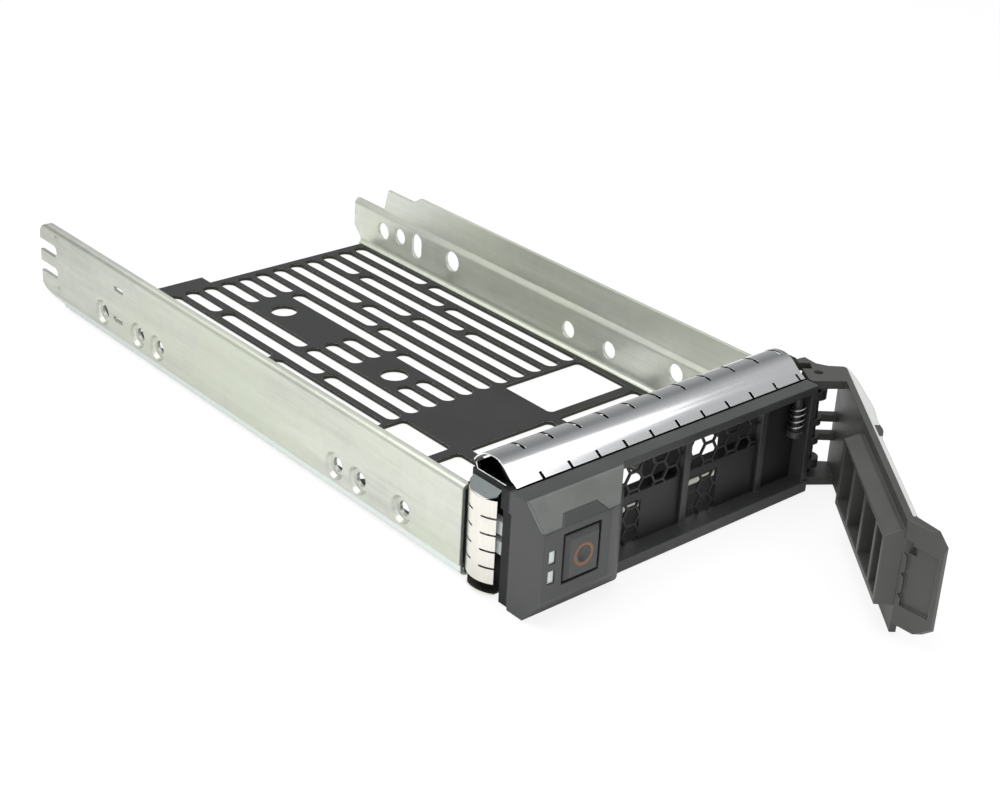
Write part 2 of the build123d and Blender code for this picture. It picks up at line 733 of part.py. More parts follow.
def left_gasket():
    """Bulged clip on the left side: slit fingers, a cap up to the roof and a foot."""
    far = clip_face - clip_bulge
    middle = (clip_front + clip_rear) / 2
    path = ThreePointArc((clip_face, clip_front), (far, middle), (clip_face, clip_rear))
    low, high = clip_z
    body = Pos(0, 0, low) * extrude(trace(path, line_width=strip), amount=high - low, dir=(0, 0, 1))
    step = (high - low) / clip_fingers
    reach = (clip_rear - clip_front) * 0.36
    for place in range(1, clip_fingers):
        z = low + place * step
        body -= block(far - 1, clip_face + 1, clip_front - 1, clip_front + reach, z - slit_width, z)
        body -= block(far - 1, clip_face + 1, clip_rear - reach, clip_rear + 1, z, z + slit_width)
    inside = [path, Polyline((clip_face, clip_rear), (wall_x - slip, clip_rear), (wall_x - slip, clip_front),
                             (clip_face, clip_front))]
    inside = extrude(make_face(inside), amount=bezel_height, dir=(0, 0, 1))
    top_x, top_z = roof_left - slip, high + clip_cap_rise
    cap = prism_y(((far, high - strip), (far, high), (top_x, top_z + strip), (top_x, top_z)), clip_front, clip_rear)
    foot = block(far, wall_x - slip, clip_front, clip_rear - clip_strap, clip_plate_z, clip_plate_z + strip)
    strap_y = clip_rear - clip_strap
    strap = block(far, wall_x - slip, strap_y - strip, strap_y, clip_plate_z, low + strip)
    return body + ((cap + foot + strap) & inside)


def swung(part):
    """Turns a part of the closed handle about the hinge to its open place."""
    return Pos(hinge_x, hinge_y, 0) * Rot(0, 0, open_angle) * Pos(-hinge_x, -hinge_y, 0) * part


def handle_arms():
    """Top and bottom arms with their teeth, and a window in the top one."""
    outline = [(hinge_x + x, hinge_y + y) for x, y in arm_outline]
    low = prism_z(outline, arm_lift, arm_lift + arm_thickness)
    high = prism_z(outline, bezel_height - arm_thickness, bezel_height)
    window_x, window_y = hinge_x + arm_slot_x, hinge_y + pin_radius
    high -= block(window_x, window_x + arm_slot[0], window_y, window_y + arm_slot[1],
                  bezel_height - arm_thickness - 1, bezel_height + 1)
    arms = low + high
    for z in knuckle_z:
        low_z = z - knuckle_height / 2
        arms += block(hinge_x + knuckle_x[0], hinge_x + knuckle_x[1], handle_front, hinge_y, low_z,
                      low_z + knuckle_height)
        arms += rod(ALONG_Z, (hinge_x, hinge_y, low_z), knuckle_radius, knuckle_height)
    return arms - rod(ALONG_Z, (hinge_x, hinge_y, -1), pin_radius + slip, bezel_height + 2)


def handle_grip():
    """Ribbed body behind the front panel: four tall pockets between its ribs."""
    x0, x1 = handle_body_x
    z0, z1 = handle_body_z
    back = handle_front + handle_panel
    outline = ((back - 1, z0), (handle_body_y, z0), (handle_body_y, z1 - handle_wall), (back + 1, z1),
               (back - 1, z1))
    body = prism_x(outline, x0, x1)
    ribs = [block_right + handle_rib_first + place * handle_rib_pitch for place in range(3)]
    for left, right in zip([x0] + ribs, ribs + [x1 - handle_rib]):
        body -= block(left + handle_rib, right, back + handle_rib / 2, handle_body_y + 1, z0 + handle_wall,
                      z1 - 1.6 * handle_wall)
    return body


def handle_tab():
    """Flared tab at the free end: cut corners, a notched pocket on its back and a hole."""
    front = [(block_right + x, y) for x, y in tab_front]
    back = [(block_right + x, y) for x, y in tab_back]
    low, high = tab_foot, bezel_height
    body = prism_z(front + back, low, high)
    root, tip = back[1][0], front[1][0] - 2
    middle = (root + tip) / 2
    body -= prism_y(((middle, high + 1), (tip, high + 1), (tip, tab_tip_z[1]), (middle, high)), -4, 9)
    body -= prism_y(((middle, low - 1), (tip, low - 1), (tip, tab_tip_z[0]), (middle, low)), -4, 9)
    lean = math.degrees(math.atan2(back[1][1] - back[0][1], back[1][0] - back[0][0]))
    half, tall = math.dist(*back) / 2 - tab_rim, tab_tip_z[1] - tab_tip_z[0] - tab_rim
    face = Pos((back[0][0] + back[1][0]) / 2, (back[0][1] + back[1][1]) / 2, sum(tab_tip_z) / 2) * Rot(0, 0, lean)
    pocket = Box(2 * half, 2 * tab_pocket, tall)
    for place in range(tab_notches):
        z = (place - (tab_notches - 1) / 2) * tall / tab_notches
        pocket += Pos(half, 0, z) * Rot(0, 45, 0) * Box(tab_notch, 2 * tab_pocket, tab_notch)
    body -= face * pocket
    hole_x, hole_top = handle_left - tab_hole[0], tab_tip_z[1]
    return body - block(hole_x, handle_left, front[1][1], handle_body_y, hole_top - tab_hole[1], hole_top)


def handle_lever():
    """Handle in one piece: panel, arms, ribbed body and tab."""
    panel = block(handle_left, half_width, handle_front, handle_front + handle_panel, handle_lift, bezel_height)
    return swung(panel + handle_arms() + handle_grip() + handle_tab())


def cover_blank():
    """Cover's full form on the closed handle: a crowned right part and a thin strip beyond."""
    back = handle_front - cover_gap
    crown = [(hinge_x + x, handle_front - proud) for x, proud in cover_crown]
    left, strip_y = block_right + cover_start, crown[-1][1]
    rest = Polyline(crown[-1], (left, strip_y), (left, back), (crown[0][0], back), crown[0])
    outline = make_face([Spline(*crown), rest])
    low, high = handle_lift + cover_margin, bezel_height - cover_margin
    return Pos(0, 0, low) * extrude(outline, amount=high - low, dir=(0, 0, 1))


def pad_space(grow):
    """Room for the pad in the cover's front."""
    return block(hinge_x + pad_span[0] - grow, hinge_x + pad_span[1] + grow, -1,
                 handle_front - cover_gap - pad_seat + grow, -1, bezel_height + 1)


def handle_face():
    """Crowned cover on the front of the handle."""
    return swung(cover_blank() - pad_space(slip))


def handle_pad():
    """Grip pad let into the cover."""
    return swung(cover_blank() & pad_space(0))


def hinge_pin():
    """Pin through the lugs and both arms."""
    low = arm_lift + 0.2
    return rod(ALONG_Z, (hinge_x, hinge_y, low), pin_radius, bezel_height - pin_drop - low)


def handle_spring():
    """Coil on its post beside the hinge."""
    height = coil_z[1] - coil_z[0]
    return Pos(post_spring_x, post_spring_y, coil_z[0]) * coil(coil_radius, coil_wire, height, coil_turns)


pieces = {
    "tray_pan": tray_pan(),
    "insulator_film": insulator_film(),
    "bezel_housing": bezel_housing(),
    "bezel_face_plate": bezel_face_plate(),
    "honeycomb_screen": honeycomb_screen(),
    "release_button": release_button(),
    "button_ring": button_ring(),
    "button_spring": button_spring(),
    "handle_latch": handle_latch(),
    "upper_light_pipe": light_pipe(*lens_z[0]),
    "lower_light_pipe": light_pipe(*lens_z[1]),
    "top_gasket": top_gasket(),
    "left_gasket": left_gasket(),
    "handle_lever": handle_lever(),
    "handle_face": handle_face(),
    "handle_pad": handle_pad(),
    "hinge_pin": hinge_pin(),
    "handle_spring": handle_spring(),
}

for name, piece in pieces.items():
    export_step(piece, f"parts/{name}.step")
    print(name, len(piece.solids()), round(piece.volume, 1))
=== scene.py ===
"""Dresses the drive caddy: finishes for every piece, top strip, button coil, camera, lamps and floor."""
import math

import bmesh
import bpy
from bpy.props import FloatProperty, FloatVectorProperty, IntProperty, PointerProperty
from mathutils import Matrix, Vector


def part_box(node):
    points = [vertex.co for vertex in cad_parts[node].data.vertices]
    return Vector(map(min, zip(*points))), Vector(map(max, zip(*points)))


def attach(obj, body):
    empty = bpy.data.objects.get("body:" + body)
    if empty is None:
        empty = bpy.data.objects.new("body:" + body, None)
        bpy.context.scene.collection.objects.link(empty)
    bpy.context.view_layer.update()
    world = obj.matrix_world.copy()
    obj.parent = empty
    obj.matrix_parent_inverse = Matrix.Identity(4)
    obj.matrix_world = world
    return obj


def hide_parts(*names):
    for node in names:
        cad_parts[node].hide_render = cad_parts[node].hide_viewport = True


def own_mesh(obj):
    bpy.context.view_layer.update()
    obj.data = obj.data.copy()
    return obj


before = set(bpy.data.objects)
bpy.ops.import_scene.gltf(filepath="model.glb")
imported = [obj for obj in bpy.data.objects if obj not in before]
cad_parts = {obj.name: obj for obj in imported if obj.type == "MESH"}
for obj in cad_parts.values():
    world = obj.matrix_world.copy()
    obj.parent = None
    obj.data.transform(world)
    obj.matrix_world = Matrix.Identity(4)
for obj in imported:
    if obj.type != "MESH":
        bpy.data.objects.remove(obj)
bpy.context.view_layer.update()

bl_info = {
    "name": "Drive Caddy Dresser",
    "version": (1, 0, 0),
    "blender": (4, 5, 0),
    "location": "3D View > Sidebar > Drive Caddy",
    "description": "Gives the drive caddy its finishes, top strip, button coil, camera and lamps",
    "category": "Object",
}

MM = 0.001

# Where the tray's and the housing's tones and painted shade change, in the model's frame
WALL_FACE_X = -52.3 * MM           # the left wall's outer face lies beyond this
FOOT_BAND_TOP = 3.15 * MM          # upper edge of the band along that wall's foot
REAR_SHADE_SPAN = (20.0 * MM, 215.0 * MM)    # that wall is painted with shade, darker towards the rear, between these depths
FLOOR_TOP = 1.02 * MM              # the floor's punched edges lie below this
FLOOR_SIDE = 49.0 * MM             # and nearer than this to the middle
FLOOR_FRONT = 28.0 * MM            # and behind this
UPRIGHT_LIMIT = 0.3                # largest vertical share of an upright face's normal
HOUSING_DARK_Y = 11.4 * MM         # the housing is painted with shade behind this

# Where the top strip's crest takes its painted dark reflection
CREST_FRONT = (16.6 * MM, 18.6 * MM)
CREST_REAR = (19.5 * MM, 24.0 * MM)
BRIGHT_END = 1.0 * MM              # the left end's cut edge is kept out of the painted shade over this length

# Widths over which a tone changes, and places measured from a node's box
SOFT_HEIGHT, SOFT_DEPTH, SOFT_FOLD = 0.5 * MM, 0.8 * MM, 0.2 * MM
PLATE_CLEAR = 0.2 * MM             # the housing is painted with shade this far above the face plate
FOLD_DROP = 2.3 * MM               # from the side clip's top to its fold

# Top strip's shape
STRIP_INSET = {"front": 0.25 * MM, "rear": 0.15 * MM, "top": 0.2 * MM, "base": 0.15 * MM}   # for its sheet
REAR_UP = 1.7 * MM                 # the rear edge's height over the base
# The crest's points, in millimetres forward of the rear edge and up from the base; None is the top
CREST_LINE = ((1.1, 3.1), (3.6, 4.75), (7.0, None), (9.6, 4.25), (12.0, 2.3))
LIP_UP = 0.75 * MM
HEEL_BACK = 0.7 * MM               # the base begins this far behind the lip
FOOT_AHEAD = 1.3 * MM              # and ends this far ahead of the rear edge
UPTURN_AHEAD, UPTURN_UP = 0.75 * MM, 1.5 * MM    # the base's bent rear edge
CREST_SHARE = 0.56                 # share of the steps that the crest's slits take up, from the rear
LIP_STEPS = 3                      # steps at the lip that its slits take up
STRIP_END_GAP = 9.2 * MM           # from the strip's right end to the housing's
TAB_DEPTH = 3.7 * MM
JOIN = 0.01 * MM                   # points nearer than this become one
SMOOTH_ANGLE = math.radians(40)
COIL_STEPS = 36                    # steps in each turn of the button's coil

# Tints, each a multiple of a colour by channel, and the near-black painted shade of cut edges
# painted shade on the housing
SHADED_TINT = (0.30, 0.32, 0.32)
GREEN_TINT = (0.90, 0.95, 0.82)
FOOT_BAND_TINT = (1.16, 1.20, 1.30)
# painted shade on the left wall's outer face, darker towards the rear
REAR_SHADE_TINT = (0.74, 0.74, 0.73)
# painted dark reflection along the strip's crest
CREST_REFLECTION_TINT = (0.30, 0.33, 0.33)
# painted shade on the side clip's fold
FOLD_SHADE_TINT = (0.22, 0.25, 0.27)
FLOOR_CUT_SHADE = (0.030, 0.031, 0.022)
STRIP_CUT_SHADE = (0.02, 0.02, 0.02)

# Stage, in metres
FLOOR_REACH = 6.0
FLOOR_Z = -0.3 * MM
FLOOR_COLOUR = (0.90, 0.90, 0.90, 1.0)
FLOOR_WHITE_SHARE = 0.84           # of what the camera sees of the floor
WHITE = (1.0, 1.0, 1.0, 1.0)
AIM = (0.0, 0.08, 0.0)
LAMPS = (("lamp above", 1.0, 0.9, (-0.25, 0.25, 0.95)),    # name, share of the power, size, place
         ("lamp left", 0.2, 0.7, (-0.75, -0.4, 0.45)),
         ("lamp front", 0.2, 0.6, (-0.1, -0.95, 0.42)))
CARD_SIZE = 0.42
CARD_PLACE = (0.175, -0.2, 0.56)
CARD_AIM = (0.0, 0.014, 0.032)
SENSOR_WIDTH = 36.0                # in millimetres


def colour(name, value):
    """Property for a plain linear colour."""
    return FloatVectorProperty(name=name, description=f"{name} before any wear", subtype="COLOR",
                               size=3, min=0.0, max=1.0, default=value)


def length(name, value):
    """Property for a length, given in millimetres and kept in metres."""
    return FloatProperty(name=name, description=f"{name} of the real piece", unit="LENGTH",
                         default=value * MM)


# Settings

class CaddyFinishSettings(bpy.types.PropertyGroup):
    """Colours of the finishes."""
    steel: colour("Galvanised steel", (0.64, 0.66, 0.60))
    film: colour("Insulating film", (0.0075, 0.008, 0.008))
    plastic: colour("Moulded plastic", (0.032, 0.034, 0.033))
    lever: colour("Handle plastic", (0.040, 0.041, 0.038))
    plate: colour("Face plate", (0.105, 0.111, 0.106))
    strip: colour("Spring steel", (0.78, 0.79, 0.80))
    clip: colour("Side clip", (0.80, 0.78, 0.72))
    ring: colour("Button ring", (0.15, 0.062, 0.021))
    cover: colour("Handle cover", (0.46, 0.47, 0.46))
    lens: colour("Lens", (0.80, 0.85, 0.85))
    wire: colour("Spring wire", (0.40, 0.41, 0.41))


class CaddyStripSettings(bpy.types.PropertyGroup):
    """Sizes of the top strip."""
    pitch: length("Finger pitch", 8.5)
    first: length("First slit from the left end", 8.0)
    slit: length("Slit width", 0.8)
    sheet: length("Strip thickness", 0.3)
    steps: IntProperty(name="Steps round the crest", description="Faces from the rear edge to the lip",
                       default=26, min=8, max=64)


class CaddyCoilSettings(bpy.types.PropertyGroup):
    """Sizes of the button's coil."""
    wire: length("Wire thickness", 0.5)
    travel: length("Button travel", 2.0)
    turns: FloatProperty(name="Turns", description="Turns of the button's coil",
                         default=4.0, min=1.0, max=12.0)
    facets: IntProperty(name="Wire facets", description="Faces round the wire", default=14, min=6, max=32)


class CaddyStageSettings(bpy.types.PropertyGroup):
    """Camera, lamps and floor."""
    camera_place: FloatVectorProperty(name="Camera place", description="Where the camera stands",
                                      subtype="XYZ", unit="LENGTH", size=3,
                                      default=(-0.2881, -0.2437, 0.2257))
    heading: FloatProperty(name="Heading", description="Turn of the camera about Z", subtype="ANGLE",
                           default=math.radians(-42.08))
    dip: FloatProperty(name="Dip", description="How far the camera looks down", subtype="ANGLE",
                       default=math.radians(26.6))
    roll: FloatProperty(name="Roll", description="Tilt of the picture", subtype="ANGLE",
                        default=math.radians(3.13))
    lens: FloatProperty(name="Lens", description="Focal length for a 36 mm sensor", default=66.38)
    lamp: FloatProperty(name="Lamp power", description="Power of the large soft lamp", unit="POWER",
                        default=9.0)
    fill: FloatProperty(name="World light", description="Strength of the even light all round",
                        default=0.55)
    card: FloatProperty(name="Card power", unit="POWER", default=0.9,
                        description="Power of the small soft panel that the strip mirrors")


# Shader helpers

def new_group(name, outputs, inputs):
    """Empty shader node group with its sockets, input node and output node."""
    group = bpy.data.node_groups.new(name, "ShaderNodeTree")
    for title, kind in outputs:
        group.interface.new_socket(name=title, in_out="OUTPUT", socket_type=kind)
    for title, value in inputs:
        item = group.interface.new_socket(name=title, in_out="INPUT", socket_type="NodeSocketFloat")
        item.default_value = value
    return group, group.nodes.new("NodeGroupInput"), group.nodes.new("NodeGroupOutput")


def feed(tree, value, socket):
    """Sets a socket to a number, or links it to another socket."""
    if isinstance(value, (int, float)):
        socket.default_value = value
    else:
        tree.links.new(value, socket)


def maths(tree, kind, first, second=0.5, clamp=False):
    """Math node between two sockets or numbers."""
    node = tree.nodes.new("ShaderNodeMath")
    node.operation = kind
    node.use_clamp = clamp
    for place, value in enumerate((first, second)):
        feed(tree, value, node.inputs[place])
    return node.outputs[0]


def span(tree, value, low, high, to_low=0.0, to_high=1.0):
    """Map Range node, clamped."""
    node = tree.nodes.new("ShaderNodeMapRange")
    tree.links.new(value, node.inputs["Value"])
    for name, number in (("From Min", low), ("From Max", high), ("To Min", to_low), ("To Max", to_high)):
        feed(tree, number, node.inputs[name])
    return node.outputs["Result"]


def blend_colour(tree, factor, first, second, kind="MIX"):
    """Mix node for two colours, each a socket or a plain triple."""
    node = tree.nodes.new("ShaderNodeMix")
    node.data_type = "RGBA"
    node.blend_type = kind
    feed(tree, factor, node.inputs[0])
    for place, value in ((6, first), (7, second)):
        if isinstance(value, tuple):
            node.inputs[place].default_value = (*value, 1.0)
        else:
            tree.links.new(value, node.inputs[place])
    return node.outputs[2]


def tinted(base, tint):
    """Colour times a number, or times a triple channel by channel, at most 1."""
    tints = (tint,) * 3 if isinstance(tint, (int, float)) else tint
    return tuple(min(1.0, channel * share) for channel, share in zip(base, tints))


def object_place(tree, stretch=(1.0, 1.0, 1.0)):
    """Object coordinates, stretched by axis."""
    where = tree.nodes.new("ShaderNodeTexCoord")
    mapping = tree.nodes.new("ShaderNodeMapping")
    mapping.inputs["Scale"].default_value = stretch
    tree.links.new(where.outputs["Object"], mapping.inputs["Vector"])
    return mapping.outputs["Vector"]


def separate(tree, vector):
    """X, Y and Z sockets of a vector."""
    node = tree.nodes.new("ShaderNodeSeparateXYZ")
    tree.links.new(vector, node.inputs[0])
    return node.outputs


def noise(tree, vector, scale, detail=3.0, rough=0.5):
    """Noise texture read at a place."""
    node = tree.nodes.new("ShaderNodeTexNoise")
    tree.links.new(vector, node.inputs["Vector"])
    feed(tree, scale, node.inputs["Scale"])
    node.inputs["Detail"].default_value = detail
    node.inputs["Roughness"].default_value = rough
    return node.outputs["Fac"]


def edge_group(name):
    """Shader group: rounds an edge's normal and masks it."""
    group, start, end = new_group(name, (("Normal", "NodeSocketVector"), ("Mask", "NodeSocketFloat")),
                                  (("Radius", 0.3 * MM), ("Patchiness", 0.5)))
    bevel = group.nodes.new("ShaderNodeBevel")
    bevel.samples = 6
    group.links.new(start.outputs["Radius"], bevel.inputs["Radius"])
    facing = group.nodes.new("ShaderNodeNewGeometry")
    dot = group.nodes.new("ShaderNodeVectorMath")
    dot.operation = "DOT_PRODUCT"
    group.links.new(bevel.outputs["Normal"], dot.inputs[0])
    group.links.new(facing.outputs["Normal"], dot.inputs[1])
    edge = span(group, dot.outputs["Value"], 0.995, 0.85)
    patches = noise(group, object_place(group), scale=180.0, detail=4.0)
    worn = maths(group, "MULTIPLY", span(group, patches, 0.35, 0.62), start.outputs["Patchiness"])
    mask = maths(group, "MULTIPLY", edge, maths(group, "SUBTRACT", 1.0, worn, True))
    group.links.new(bevel.outputs["Normal"], end.inputs["Normal"])
    group.links.new(mask, end.inputs["Mask"])
    return group


def grain_group(name):
    """Shader group: fine moulded or rolled grain with handling marks."""
    group, start, end = new_group(name, (("Height", "NodeSocketFloat"), ("Marks", "NodeSocketFloat")),
                                  (("Grain Scale", 2600.0), ("Mark Scale", 60.0)))
    where = object_place(group)
    fine = noise(group, where, start.outputs["Grain Scale"], detail=2.0, rough=0.6)
    broad = noise(group, where, start.outputs["Mark Scale"], detail=5.0, rough=0.55)
    group.links.new(fine, end.inputs["Height"])
    group.links.new(span(group, broad, 0.32, 0.70), end.inputs["Marks"])
    return group


GROUPS = {"Edge Wear And Highlight": edge_group, "Surface Grain": grain_group}


def place_group(tree, name, **values):
    """Places a shader group in a material; the group itself is built once."""
    node = tree.nodes.new("ShaderNodeGroup")
    node.node_tree = bpy.data.node_groups.get(name) or GROUPS[name](name)
    for key, value in values.items():
        node.inputs[key.replace("_", " ").title()].default_value = value
    return node


def new_material(name):
    """Material with a bare Principled shader."""
    material = bpy.data.materials.new(name)
    material.use_nodes = True
    tree = material.node_tree
    return material, tree, tree.nodes["Principled BSDF"]


def bump(tree, shader, height, depth, normal=None, strength=1.0):
    """Bump from a height, on top of a normal."""
    node = tree.nodes.new("ShaderNodeBump")
    node.inputs["Distance"].default_value = depth
    node.inputs["Strength"].default_value = strength
    tree.links.new(height, node.inputs["Height"])
    if normal is not None:
        tree.links.new(normal, node.inputs["Normal"])
    tree.links.new(node.outputs["Normal"], shader.inputs["Normal"])


def set_plain(shader, **values):
    """Constant values set on the shader's own sockets."""
    for key, value in values.items():
        shader.inputs[key.replace("_", " ")].default_value = value


# Masks

def inside_mask(tree, above, behind):
    """Mask of what lies above a height or behind a depth, where the housing is painted with shade."""
    place = separate(tree, object_place(tree))
    high = span(tree, place["Z"], above, above + SOFT_HEIGHT)
    deep = span(tree, place["Y"], behind, behind + SOFT_DEPTH)
    return maths(tree, "MAXIMUM", high, deep)


def floor_cut_mask(tree):
    """Mask of the floor's punched edges, which take painted shade: upright faces between its two flat
    sides.
    """
    facing = tree.nodes.new("ShaderNodeNewGeometry")
    normal = separate(tree, facing.outputs["True Normal"])
    place = separate(tree, object_place(tree))
    upright = maths(tree, "LESS_THAN", maths(tree, "ABSOLUTE", normal["Z"]), UPRIGHT_LIMIT)
    low = maths(tree, "LESS_THAN", place["Z"], FLOOR_TOP)
    inner = maths(tree, "LESS_THAN", maths(tree, "ABSOLUTE", place["X"]), FLOOR_SIDE)
    behind = maths(tree, "GREATER_THAN", place["Y"], FLOOR_FRONT)
    return maths(tree, "MULTIPLY", maths(tree, "MULTIPLY", upright, low),
                 maths(tree, "MULTIPLY", inner, behind))


def rear_shade_mask(tree):
    """Mask of the left wall's painted shade: its outer face, stronger towards the rear."""
    place = separate(tree, object_place(tree))
    outer = maths(tree, "LESS_THAN", place["X"], WALL_FACE_X)
    return maths(tree, "MULTIPLY", outer, span(tree, place["Y"], *REAR_SHADE_SPAN, 0.22, 1.0))


def foot_band_mask(tree):
    """Mask of the paler band along the foot of the left wall."""
    place = separate(tree, object_place(tree))
    low = maths(tree, "LESS_THAN", place["Z"], FOOT_BAND_TOP)
    outer = maths(tree, "LESS_THAN", place["X"], WALL_FACE_X)
    return maths(tree, "MULTIPLY", low, outer)


# Finishes

def plastic_finish(name, base, rough=0.42, edge_radius=0.45 * MM, grain=2400.0, lift=2.2, shaded=None,
                   spread=1.0):
    """Moulded plastic: fine grain, rounded edges in a tone of their own that is partly patchy wear and
    partly painted highlight, handling marks, painted shade inside a mask.

    lift is the edges' tone as a multiple of the base, above 1 a painted highlight, spread the strength of
    the marks, and shaded a height and a depth past which the plastic is painted with shade, blacker and
    less specular.
    """
    material, tree, shader = new_material(name)
    edges = place_group(tree, "Edge Wear And Highlight", radius=edge_radius, patchiness=0.45)
    grains = place_group(tree, "Surface Grain", grain_scale=grain, mark_scale=70.0)
    marks = grains.outputs["Marks"]
    edge_tone = tuple(min(1.0, channel * lift + 0.01) for channel in base)
    marked = blend_colour(tree, marks, tinted(base, 1 - 0.15 * spread), tinted(base, 1 + 0.20 * spread))
    # Edges take the lift tone: above 1 a painted highlight on the rounded edges, broken in patches like
    # wear.
    worn = maths(tree, "MULTIPLY", edges.outputs["Mask"], 0.55)
    body = blend_colour(tree, worn, marked, edge_tone)
    # Painted shade: the plastic is made blacker and less specular above a height and behind a depth.
    if shaded is not None:
        inside = inside_mask(tree, *shaded)
        body = blend_colour(tree, inside, body, SHADED_TINT, "MULTIPLY")
        tree.links.new(span(tree, inside, 0.0, 1.0, 0.5, 0.15), shader.inputs["Specular IOR Level"])
    tree.links.new(body, shader.inputs["Base Color"])
    tree.links.new(span(tree, marks, 0.0, 1.0, rough - 0.05, rough + 0.09), shader.inputs["Roughness"])
    set_plain(shader, Specular_IOR_Level=0.5)
    bump(tree, shader, grains.outputs["Height"], depth=0.03 * MM, strength=0.5,
         normal=edges.outputs["Normal"])
    return material


def galvanised_finish(name, base):
    """Galvanised sheet: rolling streaks, soft clouds, faint spangle, darker edges, pale foot band, painted
    shade on the floor's punched edges and on the left wall towards the rear.
    """
    material, tree, shader = new_material(name)
    edges = place_group(tree, "Edge Wear And Highlight", radius=0.35 * MM, patchiness=0.3)
    where = object_place(tree)
    cell = tree.nodes.new("ShaderNodeTexVoronoi")
    cell.inputs["Scale"].default_value = 420.0
    tree.links.new(where, cell.inputs["Vector"])
    spangle = tree.nodes.new("ShaderNodeSeparateColor")
    tree.links.new(cell.outputs["Color"], spangle.inputs["Color"])
    fine = noise(tree, object_place(tree, (1.0, 0.04, 1.0)), scale=900.0, detail=4.0, rough=0.7)
    broad = noise(tree, object_place(tree, (1.0, 0.12, 1.0)), scale=110.0, detail=4.0, rough=0.6)
    cloud = noise(tree, where, scale=22.0, detail=5.0, rough=0.6)
    tone = maths(tree, "MULTIPLY", fine, 0.30)
    for layer, share in ((broad, 0.45), (cloud, 0.30), (spangle.outputs[0], 0.04)):
        tone = maths(tree, "ADD", tone, maths(tree, "MULTIPLY", layer, share))
    body = blend_colour(tree, span(tree, tone, 0.42, 0.68), tinted(base, 0.78), tinted(base, 1.12))
    cloudy = maths(tree, "MULTIPLY", span(tree, cloud, 0.42, 0.62), 0.5)
    worn = maths(tree, "MULTIPLY", edges.outputs["Mask"], 0.5)
    # The floor's punched edges take near-black painted shade.
    for mask, tone_there in ((cloudy, tinted(base, GREEN_TINT)), (worn, tinted(base, 0.62)),
                             (floor_cut_mask(tree), FLOOR_CUT_SHADE),
                             (foot_band_mask(tree), tinted(base, FOOT_BAND_TINT))):
        body = blend_colour(tree, mask, body, tone_there)
    # Painted shade: the left wall's outer face grows darker towards the rear.
    body = blend_colour(tree, rear_shade_mask(tree), body, REAR_SHADE_TINT, "MULTIPLY")
    tree.links.new(body, shader.inputs["Base Color"])
    tree.links.new(span(tree, tone, 0.35, 0.75, 0.36, 0.50), shader.inputs["Roughness"])
    set_plain(shader, Metallic=0.78)
    bump(tree, shader, tone, depth=0.02 * MM, strength=0.3, normal=edges.outputs["Normal"])
    return material


def film_finish(name, base):
    """Insulating film: near black, satin, slightly wavy."""
    material, tree, shader = new_material(name)
    grains = place_group(tree, "Surface Grain", grain_scale=900.0, mark_scale=35.0)
    marks = grains.outputs["Marks"]
    worn = tuple(channel * 1.9 + 0.004 for channel in base)
    tree.links.new(blend_colour(tree, marks, tuple(base), worn), shader.inputs["Base Color"])
    tree.links.new(span(tree, marks, 0.0, 1.0, 0.42, 0.58), shader.inputs["Roughness"])
    bump(tree, shader, marks, depth=0.06 * MM, strength=0.4)
    return material


def spring_finish(name, base, rough, streak_axis, fold_z=None):
    """Spring steel: drawn lines along an axis, soft clouds, painted shade above a fold."""
    material, tree, shader = new_material(name)
    edges = place_group(tree, "Edge Wear And Highlight", radius=0.12 * MM, patchiness=0.2)
    stretch = [1.0, 1.0, 1.0]
    stretch[streak_axis] = 0.03
    lines = noise(tree, object_place(tree, stretch), scale=1500.0, detail=3.0, rough=0.7)
    cloud = noise(tree, object_place(tree), scale=45.0, detail=4.0)
    tint = blend_colour(tree, span(tree, cloud, 0.35, 0.7), tinted(base, 0.80), tuple(base))
    drawn = maths(tree, "MULTIPLY", span(tree, lines, 0.3, 0.75), 0.30)
    tint = blend_colour(tree, drawn, tint, tinted(base, 0.62))
    # Painted shade: the clip is darker above its fold.
    if fold_z is not None:
        place = separate(tree, object_place(tree))
        above = span(tree, place["Z"], fold_z, fold_z + SOFT_FOLD)
        tint = blend_colour(tree, above, tint, tinted(base, FOLD_SHADE_TINT))
    tree.links.new(tint, shader.inputs["Base Color"])
    tree.links.new(span(tree, lines, 0.2, 0.8, rough - 0.06, rough + 0.1), shader.inputs["Roughness"])
    set_plain(shader, Metallic=1.0)
    bump(tree, shader, lines, depth=0.01 * MM, strength=0.4, normal=edges.outputs["Normal"])
    return material


